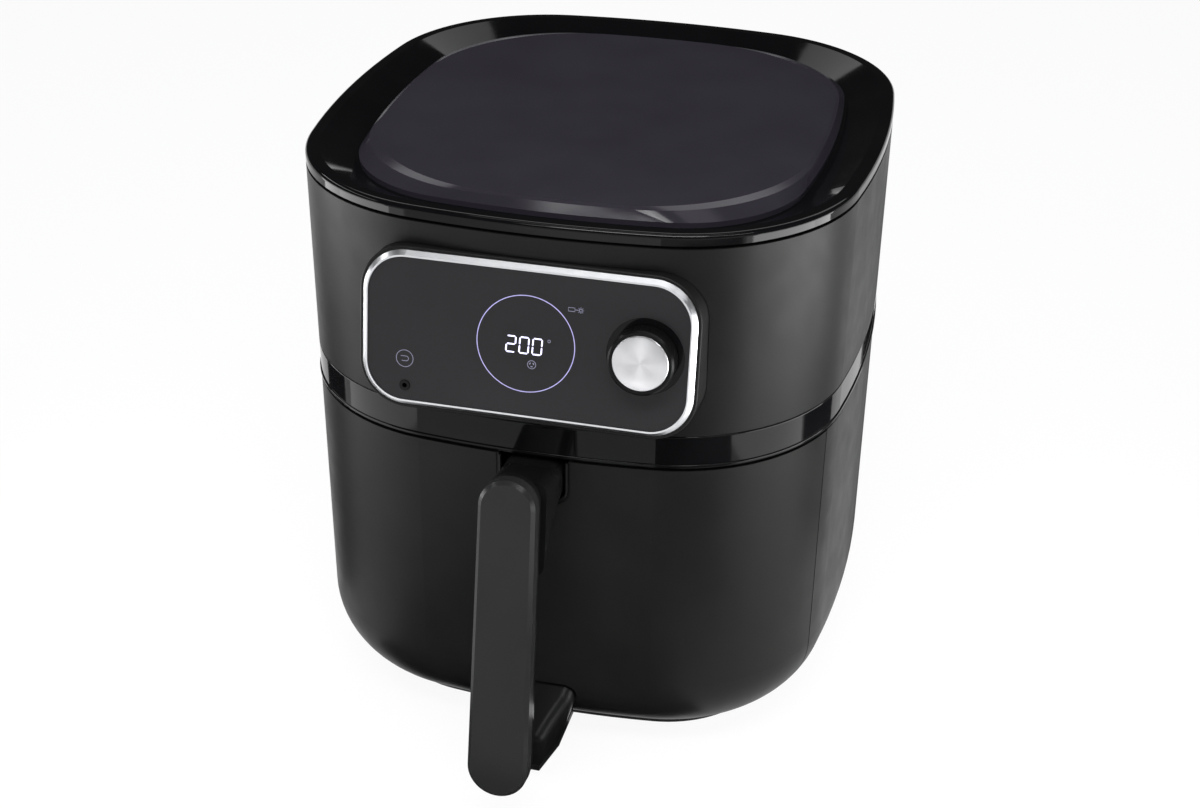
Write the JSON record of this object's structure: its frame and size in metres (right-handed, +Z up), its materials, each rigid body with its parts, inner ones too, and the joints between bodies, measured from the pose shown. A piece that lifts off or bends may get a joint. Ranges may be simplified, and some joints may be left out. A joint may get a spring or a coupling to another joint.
{
  "type": "air fryer",
  "caption": "Drawer-type hot-air fryer: rounded black housing, leaning panel with press-and-turn knob, pull-out pan and basket on an upright handle.",
  "frame": {"origin": "on the table under the middle of the whole object", "axes": "+Z up, front and handle towards -Y, +X to the right seen from the front"},
  "size_m": [0.316, 0.408, 0.333],
  "materials": {
    "gloss_black": "high gloss moulded black plastic",
    "satin_black": "fine satin moulded black plastic",
    "pad_black": "satin blue-black plastic",
    "bezel_silver": "satin silver frame",
    "lens_smoke": "smoked hard-coated plastic",
    "knob_metal": "radially spun aluminium",
    "rubber_black": "matt rubber",
    "coated_metal": "dark non-stick coating",
    "bare_steel": "plain steel",
    "circuit_green": "circuit board laminate",
    "light_white": "diffusing light guide"
  },
  "bodies": {
    "housing": {"top_cover": "gloss_black", "top_pad": "pad_black", "upper_housing": "satin_black", "gloss_band": "gloss_black", "lower_housing": "satin_black", "base_plate": "satin_black", "base_screws": "bare_steel", "rubber_feet": "rubber_black", "front_foot": "satin_black", "panel_pod": "satin_black", "panel_bezel": "bezel_silver", "panel_lens": "lens_smoke", "knob_ring": "gloss_black", "control_board": "circuit_green", "display_module": "light_white", "light_ring": "light_white", "rotary_encoder": "bare_steel", "probe_socket": "bare_steel", "inner_liner": "satin_black", "rail_left": "satin_black", "rail_right": "satin_black", "heat_chamber": "bare_steel", "heating_element": "bare_steel", "motor_bracket": "bare_steel", "fan_motor": "bare_steel", "power_board": "circuit_green", "temperature_sensor": "bare_steel", "thermal_fuse": "light_white", "drawer_switch": "satin_black", "outlet_grille": "satin_black", "cord_gland": "rubber_black"},
    "drawer": {"drawer_front": "satin_black", "drawer_inner_panel": "satin_black", "pan": "coated_metal", "basket": "coated_metal", "mesh_plate": "coated_metal", "handle_arm": "satin_black", "grip_front": "satin_black", "grip_back": "satin_black"},
    "knob_press": {"encoder_plunger": "bare_steel"},
    "knob": {"knob_shaft": "bare_steel", "knob_body": "satin_black", "knob_cap": "knob_metal"},
    "fan": {"fan_shaft": "bare_steel", "fan_nut": "bare_steel", "convection_fan": "bare_steel", "cooling_fan": "satin_black"}
  },
  "joints": [
    {"name": "drawer_slide", "type": "slide", "parent": "housing", "child": "drawer", "axis": [0, -1, 0], "range_m": [0, 0.3]},
    {"name": "knob_push", "type": "slide", "parent": "housing", "child": "knob_press", "axis": [0, 0.989, -0.1478], "range_m": [0, 0.001], "stiffness_N_per_m": 3000},
    {"name": "knob_turn", "type": "hinge", "parent": "knob_press", "child": "knob", "pos_m": [0.0629, -0.13829, 0.27159], "axis": [0, -0.989, 0.1478], "continuous": true},
    {"name": "fan_spin", "type": "hinge", "parent": "housing", "child": "fan", "pos_m": [0, 0.038, 0.26], "axis": [0, 0, 1], "continuous": true}
  ]
}
